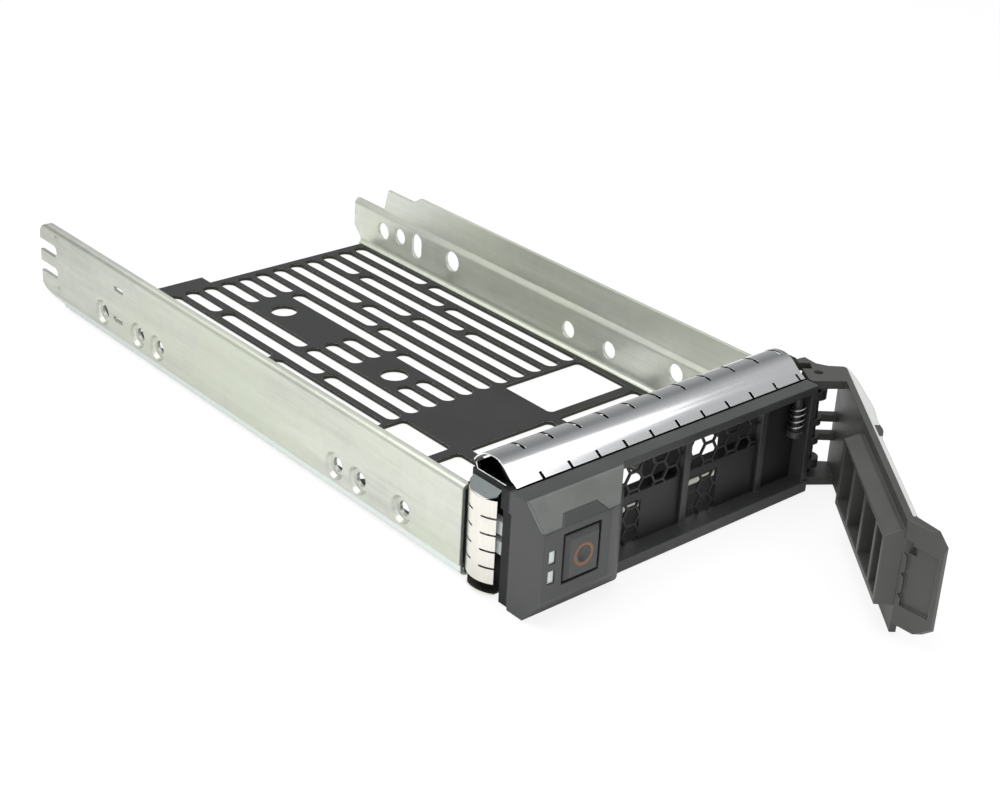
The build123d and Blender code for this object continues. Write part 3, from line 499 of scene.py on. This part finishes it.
def strip_finish(name, base, cut_edge=False):
    """Rolled strip steel: painted dark reflection on the crest, bright slope, drawn lines, edges lighter as
    painted highlight and patchy wear; cut edges near black as painted shade but for the left end's.
    """
    material, tree, shader = new_material(name)
    edges = place_group(tree, "Edge Wear And Highlight", radius=0.12 * MM, patchiness=0.2)
    place = separate(tree, object_place(tree))
    lines = noise(tree, object_place(tree, (0.03, 1.0, 1.0)), scale=1500.0, detail=3.0, rough=0.7)
    cloud = noise(tree, object_place(tree, (0.4, 1.0, 1.0)), scale=70.0, detail=4.0)
    # Painted dark reflection: a band along the crest is made darker.
    crest = span(tree, place["Y"], *CREST_FRONT)
    rear = span(tree, place["Y"], *CREST_REAR)
    dark = maths(tree, "MULTIPLY", crest, maths(tree, "SUBTRACT", 1.0, rear, True))
    tint = tuple(base)
    for mask, share, tone in ((dark, 0.75, CREST_REFLECTION_TINT), (span(tree, lines, 0.35, 0.75), 0.18, 0.6),
                              (span(tree, cloud, 0.4, 0.7), 0.15, 0.7)):
        tint = blend_colour(tree, maths(tree, "MULTIPLY", mask, share), tint, tinted(base, tone))
    # Edges lighter: painted highlight, broken in patches like wear.
    tint = blend_colour(tree, edges.outputs["Mask"], tint, tinted(base, 1.15))
    # Painted shade: the strip's cut edges are near black, all but the left end's.
    if cut_edge:
        inner = maths(tree, "GREATER_THAN", place["X"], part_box("top_gasket")[0][0] + BRIGHT_END)
        tint = blend_colour(tree, inner, tint, STRIP_CUT_SHADE)
    tree.links.new(tint, shader.inputs["Base Color"])
    tree.links.new(span(tree, lines, 0.2, 0.8, 0.10, 0.20), shader.inputs["Roughness"])
    set_plain(shader, Metallic=1.0)
    bump(tree, shader, lines, depth=0.004 * MM, strength=0.3, normal=edges.outputs["Normal"])
    return material


def lens_finish(name, base):
    """Clear moulded lens with a slightly milky body."""
    material, tree, shader = new_material(name)
    grains = place_group(tree, "Surface Grain", grain_scale=800.0, mark_scale=300.0)
    marks = grains.outputs["Marks"]
    tree.links.new(blend_colour(tree, marks, tinted(base, 0.9), tuple(base)), shader.inputs["Base Color"])
    tree.links.new(span(tree, marks, 0.0, 1.0, 0.12, 0.25), shader.inputs["Roughness"])
    set_plain(shader, IOR=1.49, Transmission_Weight=0.25)
    bump(tree, shader, grains.outputs["Height"], depth=0.01 * MM, strength=0.3)
    return material


def dress(node, material):
    """Gives a CAD node one material on all its slots."""
    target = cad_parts[node]
    target.data.materials.clear()
    target.data.materials.append(material)
    for face in target.data.polygons:
        face.material_index = 0


# Geometry helpers

def add_object(name, data):
    """New object in the scene."""
    item = bpy.data.objects.new(name, data)
    bpy.context.scene.collection.objects.link(item)
    return item


def apply_modifiers(holder, name):
    """Plain mesh object from an object's evaluated shape; the holder is removed."""
    shape = holder.evaluated_get(bpy.context.evaluated_depsgraph_get())
    mesh = bpy.data.meshes.new_from_object(shape)
    mesh.name = name
    bpy.data.objects.remove(holder)
    return add_object(name, mesh)


def new_tree(name, inputs):
    """Empty Geometry Nodes tree, its inputs' identifiers, its input node and its output node."""
    tree = bpy.data.node_groups.new(name, "GeometryNodeTree")
    tree.interface.new_socket(name="Geometry", in_out="OUTPUT", socket_type="NodeSocketGeometry")
    ids = {}
    for title, kind in inputs:
        ids[title] = tree.interface.new_socket(name=title, in_out="INPUT", socket_type=kind).identifier
    return tree, ids, tree.nodes.new("NodeGroupInput"), tree.nodes.new("NodeGroupOutput")


def run_tree(tree, ids, values, name):
    """Plain mesh object that a Geometry Nodes tree gives for these input values."""
    holder = add_object("tree holder", bpy.data.meshes.new("tree holder"))
    modifier = holder.modifiers.new("Tree", "NODES")
    modifier.node_group = tree
    for title, value in values.items():
        modifier[ids[title]] = value
    return apply_modifiers(holder, name)


# Top strip

def strip_profile():
    """Strip's middle line as (y, z) in metres: rear edge, round crest, lip and base."""
    low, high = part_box("top_gasket")
    front, rear = low[1] + STRIP_INSET["front"], high[1] - STRIP_INSET["rear"]
    top, base = high[2] - STRIP_INSET["top"], low[2] + STRIP_INSET["base"]
    crest = [(rear - ahead * MM, top if up is None else base + up * MM) for ahead, up in CREST_LINE]
    return {
        "rear": (rear, base + REAR_UP),
        "crest": crest,
        "lip": (front, base + LIP_UP),
        "heel": (front + HEEL_BACK, base),
        "foot": (rear - FOOT_AHEAD, base),
        "upturn": (rear - UPTURN_AHEAD, base + UPTURN_UP),
    }


def smooth_line(points, steps):
    """Points read evenly along a curve that passes through the given ones."""
    count = len(points) - 1
    line = []
    for place in range(steps + 1):
        where = place / steps * count
        part = min(int(where), count - 1)
        t = where - part
        p0, p1 = points[max(part - 1, 0)], points[part]
        p2, p3 = points[part + 1], points[min(part + 2, count)]
        line.append(tuple(0.5 * (2 * b + (c - a) * t + (2 * a - 5 * b + 4 * c - d) * t * t
                                 + (3 * b - a - 3 * c + d) * t ** 3)
                          for a, b, c, d in zip(p0, p1, p2, p3)))
    return line


def finger_mesh(settings):
    """One pitch of the strip's upper sheet, open at its slits, as a mesh from x 0 to the pitch."""
    shape = strip_profile()
    line = smooth_line([shape["rear"]] + shape["crest"] + [shape["lip"]], settings.steps)
    pitch, gap = settings.pitch, settings.slit
    crest_end = int(settings.steps * CREST_SHARE)
    lip_start = settings.steps - LIP_STEPS
    columns = (0.0, gap / 2, pitch / 2, pitch - gap / 2, pitch)
    mesh = bmesh.new()
    grid = [[mesh.verts.new((x, y, z)) for y, z in line] for x in columns]
    for column in range(len(columns) - 1):
        here, beside = grid[column], grid[column + 1]
        for row in range(settings.steps):
            at_slit = column in (0, len(columns) - 2) and (row < crest_end or row >= lip_start)
            if not at_slit:
                mesh.faces.new((here[row], beside[row], beside[row + 1], here[row + 1]))
    loose = [vert for vert in mesh.verts if not vert.link_faces]
    bmesh.ops.delete(mesh, geom=loose, context="VERTS")
    data = bpy.data.meshes.new("strip finger")
    mesh.to_mesh(data)
    mesh.free()
    return data


def strip_tree(finger, material):
    """Geometry Nodes tree that sets the finger along a row and keeps it one mesh."""
    tree, ids, start, end = new_tree("Strip Row", (("Count", "NodeSocketInt"), ("Pitch", "NodeSocketFloat"),
                                                   ("Start", "NodeSocketFloat")))
    row = tree.nodes.new("GeometryNodeMeshLine")
    step = tree.nodes.new("ShaderNodeCombineXYZ")
    origin = tree.nodes.new("ShaderNodeCombineXYZ")
    source = tree.nodes.new("GeometryNodeObjectInfo")
    source.inputs["Object"].default_value = finger
    copies = tree.nodes.new("GeometryNodeInstanceOnPoints")
    real = tree.nodes.new("GeometryNodeRealizeInstances")
    merge = tree.nodes.new("GeometryNodeMergeByDistance")
    merge.inputs["Distance"].default_value = JOIN
    paint = tree.nodes.new("GeometryNodeSetMaterial")
    paint.inputs["Material"].default_value = material
    for source_socket, target_socket in (
            (start.outputs["Count"], row.inputs["Count"]),
            (start.outputs["Pitch"], step.inputs["X"]),
            (start.outputs["Start"], origin.inputs["X"]),
            (origin.outputs[0], row.inputs["Start Location"]),
            (step.outputs[0], row.inputs["Offset"]),
            (row.outputs["Mesh"], copies.inputs["Points"]),
            (source.outputs["Geometry"], copies.inputs["Instance"]),
            (copies.outputs["Instances"], real.inputs["Geometry"]),
            (real.outputs["Geometry"], merge.inputs["Geometry"]),
            (merge.outputs["Geometry"], paint.inputs["Geometry"]),
            (paint.outputs["Geometry"], end.inputs[0])):
        tree.links.new(source_socket, target_socket)
    return tree, ids


def close_strip(data, left, right):
    """Trims the row of fingers at both ends and adds the base and the tab at its right end."""
    mesh = bmesh.new()
    mesh.from_mesh(data)
    for place, keep in ((left, 1.0), (right, -1.0)):
        bmesh.ops.bisect_plane(mesh, geom=mesh.verts[:] + mesh.edges[:] + mesh.faces[:],
                               plane_co=(place, 0.0, 0.0), plane_no=(keep, 0.0, 0.0), clear_inner=True)
    shape = strip_profile()
    base = [shape["lip"], shape["heel"], shape["foot"], shape["upturn"]]
    near, far = [[mesh.verts.new((x, y, z)) for y, z in base] for x in (left, right)]
    for place in range(len(base) - 1):
        face = mesh.faces.new((near[place], far[place], far[place + 1], near[place + 1]))
        face.material_index = 1
    tab_x, tab_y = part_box("top_gasket")[1][0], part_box("top_gasket")[1][1] - TAB_DEPTH
    foot_y, foot_z = shape["foot"]
    corners = ((right, tab_y), (tab_x, tab_y), (tab_x, foot_y), (right, foot_y))
    mesh.faces.new([mesh.verts.new((x, y, foot_z)) for x, y in corners])
    bmesh.ops.remove_doubles(mesh, verts=mesh.verts, dist=JOIN)
    bmesh.ops.recalc_face_normals(mesh, faces=mesh.faces)
    mesh.to_mesh(data)
    mesh.free()


def strip_piece(settings, outer, inner, edge):
    """Top strip: a row of fingers, its ends, base and tab, given its thickness."""
    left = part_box("top_gasket")[0][0]
    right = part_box("bezel_housing")[1][0] - STRIP_END_GAP
    first = left + settings.first
    count = int((right - first) / settings.pitch) + 2
    finger = add_object("finger", finger_mesh(settings))
    tree, ids = strip_tree(finger, outer)
    values = {"Count": count, "Pitch": settings.pitch, "Start": first - settings.pitch}
    strip = run_tree(tree, ids, values, "top_strip")
    bpy.data.objects.remove(finger)
    strip.data.materials.clear()
    for material in (outer, inner, edge):
        strip.data.materials.append(material)
    close_strip(strip.data, left, right)
    thick = strip.modifiers.new("Sheet", "SOLIDIFY")
    thick.thickness = settings.sheet
    thick.offset = 0.0
    thick.material_offset = 1
    thick.material_offset_rim = 2
    strip = apply_modifiers(strip, "top_strip")
    for face in strip.data.polygons:
        face.use_smooth = True
    strip.data.set_sharp_from_angle(angle=SMOOTH_ANGLE)
    return strip


# Button coil

def coil_tree(material):
    """Geometry Nodes tree for a round-wire coil that climbs along Z."""
    tree, ids, start, end = new_tree("Round Coil", (
        ("Radius", "NodeSocketFloat"), ("Length", "NodeSocketFloat"), ("Wire", "NodeSocketFloat"),
        ("Turns", "NodeSocketFloat"), ("Facets", "NodeSocketInt")))
    path = tree.nodes.new("GeometryNodeCurveSpiral")
    path.inputs["Resolution"].default_value = COIL_STEPS
    section = tree.nodes.new("GeometryNodeCurvePrimitiveCircle")
    sweep = tree.nodes.new("GeometryNodeCurveToMesh")
    sweep.inputs["Fill Caps"].default_value = True
    smooth = tree.nodes.new("GeometryNodeSetShadeSmooth")
    paint = tree.nodes.new("GeometryNodeSetMaterial")
    paint.inputs["Material"].default_value = material
    for source_socket, target_socket in (
            (start.outputs["Radius"], path.inputs["Start Radius"]),
            (start.outputs["Radius"], path.inputs["End Radius"]),
            (start.outputs["Length"], path.inputs["Height"]),
            (start.outputs["Turns"], path.inputs["Rotations"]),
            (start.outputs["Wire"], section.inputs["Radius"]),
            (start.outputs["Facets"], section.inputs["Resolution"]),
            (path.outputs["Curve"], sweep.inputs["Curve"]),
            (section.outputs["Curve"], sweep.inputs["Profile Curve"]),
            (sweep.outputs["Mesh"], smooth.inputs["Geometry"]),
            (smooth.outputs["Geometry"], paint.inputs["Geometry"]),
            (paint.outputs["Geometry"], end.inputs[0])):
        tree.links.new(source_socket, target_socket)
    return tree, ids


def coil_piece(settings, material):
    """Button coil inside its CAD box, in place of the CAD spring, fixed to the frame."""
    low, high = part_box("button_spring")
    wire = settings.wire / 2
    values = {"Radius": (high[0] - low[0]) / 2 - wire, "Length": high[1] - low[1] - 2 * wire, "Wire": wire,
              "Turns": settings.turns, "Facets": settings.facets}
    coil = run_tree(*coil_tree(material), values, "button_coil")
    centre = Vector(((low[0] + high[0]) / 2, low[1] + wire, (low[2] + high[2]) / 2))
    coil.data.transform(Matrix.Translation(centre) @ Matrix.Rotation(math.radians(-90), 4, "X"))
    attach(coil, "frame")
    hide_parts("button_spring")
    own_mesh(coil)


# Stage

def add_lamp(name, power, size, place, target):
    """Square area lamp aimed at a point."""
    lamp = bpy.data.lights.new(name, "AREA")
    lamp.energy = power
    lamp.size = size
    holder = add_object(name, lamp)
    aim = Vector(place) - Vector(target)
    holder.rotation_euler = aim.to_track_quat("Z", "Y").to_euler()
    holder.location = place


def camera_turn(heading, dip, roll):
    """Rotation of a camera from its heading, dip and roll."""
    right = Vector((math.cos(heading), math.sin(heading), 0.0))
    ahead = Vector((-math.sin(heading) * math.cos(dip), math.cos(heading) * math.cos(dip), -math.sin(dip)))
    up = right.cross(ahead)
    side = right * math.cos(roll) + up * math.sin(roll)
    top = up * math.cos(roll) - right * math.sin(roll)
    return Matrix((side, top, -ahead)).transposed()


def backdrop_material():
    """White floor that keeps a faint shadow."""
    material, tree, shader = new_material("white floor")
    set_plain(shader, Roughness=0.9, Specular_IOR_Level=0.1, Base_Color=FLOOR_COLOUR)
    emit = tree.nodes.new("ShaderNodeEmission")
    emit.inputs["Color"].default_value = WHITE
    path = tree.nodes.new("ShaderNodeLightPath")
    share = maths(tree, "MULTIPLY", path.outputs["Is Camera Ray"], FLOOR_WHITE_SHARE)
    mix = tree.nodes.new("ShaderNodeMixShader")
    for place, socket in enumerate((share, shader.outputs[0], emit.outputs[0])):
        tree.links.new(socket, mix.inputs[place])
    tree.links.new(mix.outputs[0], tree.nodes["Material Output"].inputs["Surface"])
    return material


def even_world(fill):
    """World of even light that the camera sees as white."""
    world = bpy.data.worlds.new("even light")
    world.use_nodes = True
    tree = world.node_tree
    back = tree.nodes["Background"]
    path = tree.nodes.new("ShaderNodeLightPath")
    seen = maths(tree, "MULTIPLY", path.outputs["Is Camera Ray"], 1.0 - fill)
    tree.links.new(maths(tree, "ADD", seen, fill), back.inputs["Strength"])
    back.inputs["Color"].default_value = WHITE
    return world


# Operators

class CADDY_OT_tray(bpy.types.Operator):
    """Finishes the folded tray and its film."""
    bl_idname = "caddy.tray"
    bl_label = "Tray And Film"

    def execute(self, context):
        finish = context.scene.caddy_finish
        dress("tray_pan", galvanised_finish("galvanised steel", finish.steel))
        dress("insulator_film", film_finish("insulating film", finish.film))
        return {"FINISHED"}


class CADDY_OT_front(bpy.types.Operator):
    """Finishes the front housing, its plate, screen and lenses."""
    bl_idname = "caddy.front"
    bl_label = "Front Housing"

    def execute(self, context):
        finish = context.scene.caddy_finish
        # The housing is painted with shade above its face plate and behind a depth.
        above_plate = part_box("bezel_face_plate")[1][2] + PLATE_CLEAR
        dress("bezel_housing",
              plastic_finish("housing plastic", finish.plastic, shaded=(above_plate, HOUSING_DARK_Y)))
        dress("bezel_face_plate", plastic_finish("face plate", finish.plate, rough=0.36, grain=3000.0,
                                                 edge_radius=0.5 * MM, lift=0.2))
        dress("honeycomb_screen", plastic_finish("screen plastic", tinted(finish.plastic, 0.35), rough=0.5,
                                                 edge_radius=0.12 * MM))
        lens = lens_finish("clear lens", finish.lens)
        dress("upper_light_pipe", lens)
        dress("lower_light_pipe", lens)
        return {"FINISHED"}


class CADDY_OT_button(bpy.types.Operator):
    """Finishes the release button, its ring and latch, and builds its coil."""
    bl_idname = "caddy.button"
    bl_label = "Release Button"

    def execute(self, context):
        finish = context.scene.caddy_finish
        dress("release_button", plastic_finish("button plastic", finish.plastic, rough=0.44, grain=3200.0,
                                               edge_radius=0.3 * MM, lift=2.6))
        dress("button_ring", plastic_finish("ring plastic", finish.ring, rough=0.4, grain=3000.0,
                                            edge_radius=0.1 * MM, lift=1.3))
        dress("handle_latch", plastic_finish("latch plastic", finish.plastic, rough=0.4))
        wire = spring_finish("button spring wire", finish.wire, rough=0.25, streak_axis=1)
        coil_piece(context.scene.caddy_coil, wire)
        return {"FINISHED"}


class CADDY_OT_strips(bpy.types.Operator):
    """Builds the slit top strip over its CAD solid and finishes the left clip."""
    bl_idname = "caddy.strips"
    bl_label = "Contact Strips"

    def execute(self, context):
        finish = context.scene.caddy_finish
        # The strip's underside and base are painted with shade, far darker than its top.
        inner = spring_finish("strip underside shade", tinted(finish.strip, 0.16), rough=0.3, streak_axis=0)
        outer = strip_finish("bright spring steel", finish.strip)
        # The strip's cut edges take near-black painted shade, all but the left end's.
        edge = strip_finish("strip cut edge", finish.strip, cut_edge=True)
        strip = strip_piece(context.scene.caddy_strip, outer, inner, edge)
        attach(strip, "frame")
        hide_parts("top_gasket")
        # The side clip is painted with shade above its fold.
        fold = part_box("left_gasket")[1][2] - FOLD_DROP
        dress("left_gasket", spring_finish("clip steel", finish.clip, rough=0.30, streak_axis=2,
                                           fold_z=fold))
        return {"FINISHED"}


class CADDY_OT_handle(bpy.types.Operator):
    """Finishes the handle, its cover, pad, pin and spring."""
    bl_idname = "caddy.handle"
    bl_label = "Handle"

    def execute(self, context):
        finish = context.scene.caddy_finish
        dress("handle_lever", plastic_finish("handle plastic", finish.lever))
        dress("handle_face", plastic_finish("cover paint", finish.cover, rough=0.38, grain=2000.0,
                                            edge_radius=0.5 * MM, lift=1.2, spread=0.25))
        dress("handle_pad", plastic_finish("pad plastic", finish.plastic, rough=0.45, grain=2600.0,
                                           edge_radius=0.3 * MM, lift=1.8))
        wire = spring_finish("wire steel", finish.wire, rough=0.28, streak_axis=2)
        dress("hinge_pin", wire)
        dress("handle_spring", wire)
        return {"FINISHED"}


class CADDY_OT_stage(bpy.types.Operator):
    """Adds the floor, lamps, world and camera."""
    bl_idname = "caddy.stage"
    bl_label = "Stage"

    def execute(self, context):
        scene = context.scene
        stage = scene.caddy_stage
        mesh = bpy.data.meshes.new("floor")
        corners = ((-1, -1), (1, -1), (1, 1), (-1, 1))
        mesh.from_pydata([(x * FLOOR_REACH, y * FLOOR_REACH, FLOOR_Z) for x, y in corners], [],
                         [(0, 1, 2, 3)])
        mesh.materials.append(backdrop_material())
        add_object("floor", mesh)
        for name, share, size, place in LAMPS:
            add_lamp(name, stage.lamp * share, size, place, AIM)
        add_lamp("card", stage.card, CARD_SIZE, CARD_PLACE, CARD_AIM)
        scene.world = even_world(stage.fill)
        lens = bpy.data.cameras.new("camera")
        lens.lens = stage.lens
        lens.sensor_width = SENSOR_WIDTH
        camera = add_object("camera", lens)
        turn = camera_turn(stage.heading, stage.dip, stage.roll).to_4x4()
        camera.matrix_world = Matrix.Translation(stage.camera_place) @ turn
        scene.camera = camera
        scene.view_settings.view_transform = "Standard"
        return {"FINISHED"}


class CADDY_PT_panel(bpy.types.Panel):
    """Lists the caddy's operators and settings."""
    bl_idname = "CADDY_PT_panel"
    bl_label = "Drive Caddy"
    bl_space_type = "VIEW_3D"
    bl_region_type = "UI"
    bl_category = "Drive Caddy"

    def draw(self, context):
        for kind in OPERATORS:
            self.layout.operator(kind.bl_idname)
        for holder, kind in SETTINGS:
            for name in kind.__annotations__:
                self.layout.prop(getattr(context.scene, holder), name)


OPERATORS = (CADDY_OT_tray, CADDY_OT_front, CADDY_OT_button, CADDY_OT_strips, CADDY_OT_handle,
             CADDY_OT_stage)
SETTINGS = (("caddy_finish", CaddyFinishSettings), ("caddy_strip", CaddyStripSettings),
            ("caddy_coil", CaddyCoilSettings), ("caddy_stage", CaddyStageSettings))


def register():
    """Registers the settings, operators and panel."""
    for name, kind in SETTINGS:
        bpy.utils.register_class(kind)
        setattr(bpy.types.Scene, name, PointerProperty(type=kind))
    for kind in OPERATORS + (CADDY_PT_panel,):
        bpy.utils.register_class(kind)


def unregister():
    """Removes what register added."""
    for kind in (CADDY_PT_panel,) + OPERATORS[::-1]:
        bpy.utils.unregister_class(kind)
    for name, kind in SETTINGS[::-1]:
        delattr(bpy.types.Scene, name)
        bpy.utils.unregister_class(kind)


def main():
    """Builds the whole scene."""
    register()
    for kind in OPERATORS:
        family, name = kind.bl_idname.split(".")
        getattr(getattr(bpy.ops, family), name)()


if __name__ == "__main__":
    main()
